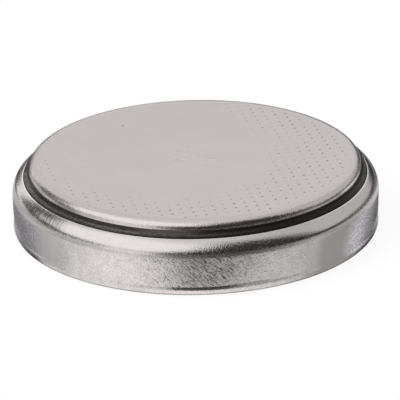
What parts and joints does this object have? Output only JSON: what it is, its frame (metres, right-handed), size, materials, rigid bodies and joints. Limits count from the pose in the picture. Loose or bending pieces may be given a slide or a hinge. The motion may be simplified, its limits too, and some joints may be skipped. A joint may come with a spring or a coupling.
{
  "type": "lithium coin cell",
  "caption": "Round flat lithium coin cell: a crimped steel can with rolled shoulder, a dark sealing gasket and a raised satin steel cap.",
  "frame": {"origin": "centre of the can's flat base, on the surface that the cell rests on", "axes": "+Z along the cell's axis from the positive base up to the negative cap; X and Y lie in the base, and the cell is round about Z"},
  "size_m": [0.0244, 0.0244, 0.0047],
  "materials": {
    "can_steel": "bright drawn stainless sheet with fine tool marks",
    "cap_steel": "satin stainless sheet with a fine dot texture",
    "gasket_plastic": "dark moulded polypropylene, slightly glossy",
    "lithium": "soft rolled lithium foil",
    "separator_felt": "thin white nonwoven polypropylene",
    "cathode_mix": "pressed manganese dioxide and graphite powder",
    "collector_steel": "plain punched stainless sheet"
  },
  "bodies": {
    "root": {"positive_can": "can_steel", "gasket": "gasket_plastic", "negative_cap": "cap_steel", "lithium_anode": "lithium", "separator": "separator_felt", "cathode_pellet": "cathode_mix", "cathode_collector": "collector_steel"}
  },
  "joints": []
}
